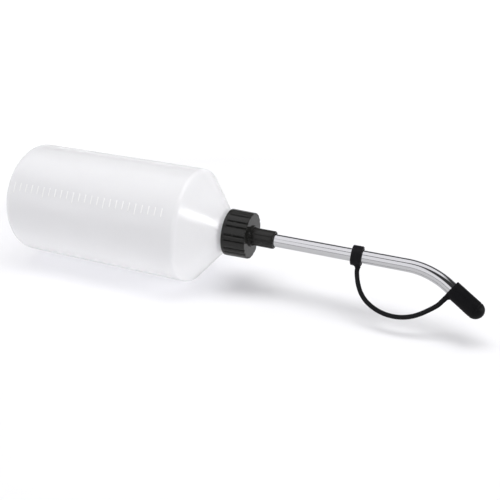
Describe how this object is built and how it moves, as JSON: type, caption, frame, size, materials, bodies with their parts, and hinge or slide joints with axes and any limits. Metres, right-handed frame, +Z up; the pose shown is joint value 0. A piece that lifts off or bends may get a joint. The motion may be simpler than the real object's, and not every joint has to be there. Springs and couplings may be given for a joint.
{
  "type": "squeeze filler bottle",
  "caption": "Plastic squeeze filler bottle for gear oil, lying on its side, with a ribbed screw cap, a bent metal spout tube and a tethered rubber tip cap.",
  "frame": {"origin": "middle of the whole length, on the surface that the bottle lies on, under the bottle's axis", "axes": "+X along the bottle's axis from its base to the spout, +Z up, and the spout's bend leans down towards -Y"},
  "size_m": [0.3074, 0.0748, 0.0748],
  "materials": {
    "bottle_plastic": "milky translucent polyethylene with a soft satin skin",
    "cap_plastic": "glossy black moulded plastic",
    "gasket_rubber": "matt grey rubber",
    "stem_plastic": "glossy black moulded plastic",
    "tube_metal": "bright polished plated steel",
    "ring_rubber": "satin black rubber",
    "strap_rubber": "satin black rubber",
    "tip_rubber": "satin black rubber"
  },
  "bodies": {
    "bottle": {"bottle": "bottle_plastic"},
    "gasket": {"cap_gasket": "gasket_rubber"},
    "cap": {"screw_cap": "cap_plastic"},
    "spout": {"spout_stem": "stem_plastic", "spout_tube": "tube_metal", "tether_ring": "ring_rubber", "tether_strap": "strap_rubber"},
    "tip_cap": {"tip_cap": "tip_rubber"}
  },
  "joints": [
    {"name": "cap_lift", "type": "slide", "parent": "bottle", "child": "gasket", "axis": [1, 0, 0], "range_m": [0, 0.00801]},
    {"name": "cap_turn", "type": "hinge", "parent": "gasket", "child": "cap", "pos_m": [0.0011, 0, 0.03742], "axis": [1, 0, 0], "range_deg": [0, 720]},
    {"name": "spout_swivel", "type": "hinge", "parent": "gasket", "child": "spout", "pos_m": [0.0111, 0, 0.03742], "axis": [1, 0, 0], "continuous": true},
    {"name": "tip_cap_pull", "type": "slide", "parent": "spout", "child": "tip_cap", "axis": [0.8443, -0.2996, -0.4442], "range_m": [0, 0.018], "deforming": ["tether_strap"]}
  ],
  "couplings": [
    {"joint": "cap_lift", "follows": "cap_turn", "m_per_rad": 0.00063662}
  ]
}
